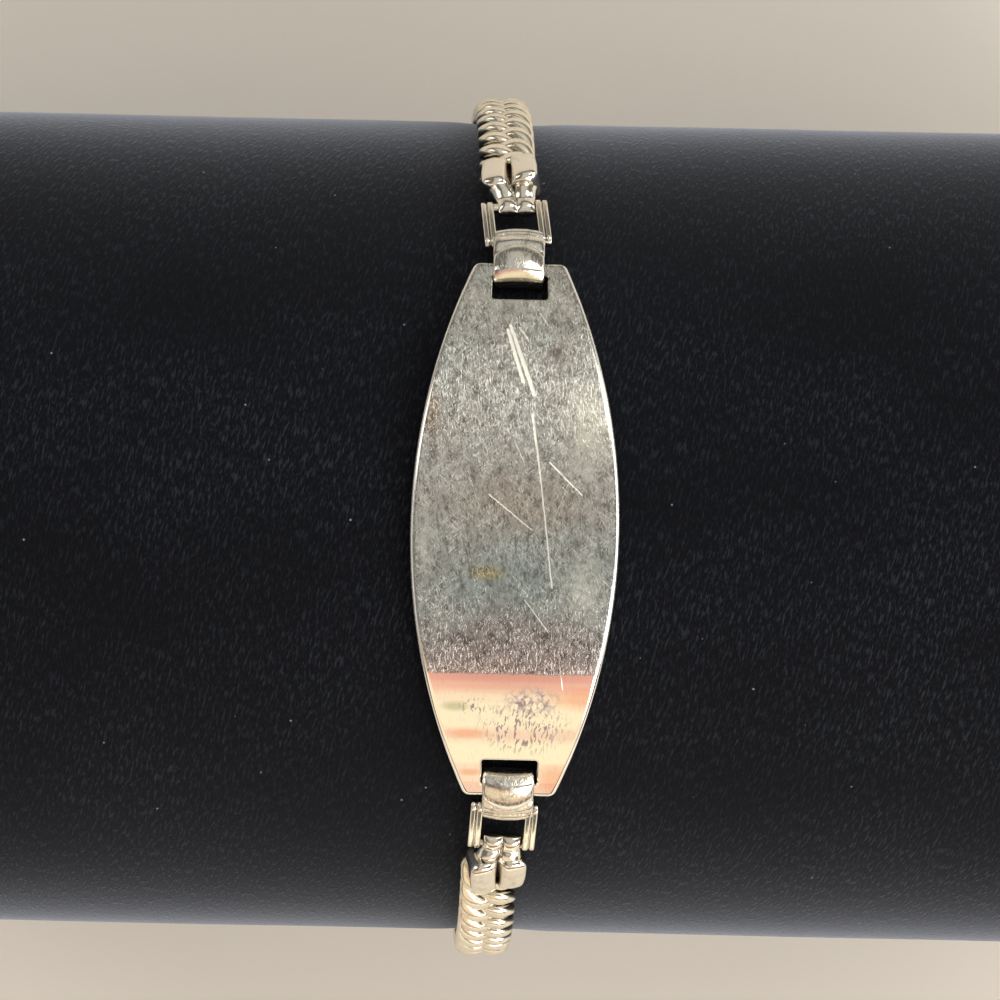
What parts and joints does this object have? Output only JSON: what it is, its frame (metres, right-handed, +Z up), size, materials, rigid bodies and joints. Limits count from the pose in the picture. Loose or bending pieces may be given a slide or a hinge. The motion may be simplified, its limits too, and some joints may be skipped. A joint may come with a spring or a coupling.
{
  "type": "id bracelet on display roll",
  "caption": "Id bracelet with a curved barrel-shaped name plate, strap bails, frame links and a tight curb chain, closed round a padded velvet display roll on its side.",
  "frame": {"origin": "middle of the underside, on the surface that the roll lies on", "axes": "+X along the display roll, +Y along the name plate's length, +Z up and out of the middle of the plate"},
  "size_m": [0.11, 0.0644, 0.0602],
  "materials": {
    "plate_metal": "polished silver-tone metal with dense fine scratches and a tarnished patch",
    "fitting_metal": "polished warm silver-tone metal",
    "chain_metal": "polished warm silver-tone metal, darker between the links",
    "velvet": "dark navy short-pile velvet"
  },
  "bodies": {
    "root": {"id_plate": "plate_metal", "bail_upper": "fitting_metal", "bail_lower": "fitting_metal", "frame_link_upper": "fitting_metal", "frame_link_lower": "fitting_metal", "end_cap_upper": "fitting_metal", "end_cap_lower": "fitting_metal", "chain_upper": "chain_metal", "chain_lower": "chain_metal", "clasp": "fitting_metal", "display_roll": "velvet"}
  },
  "joints": []
}
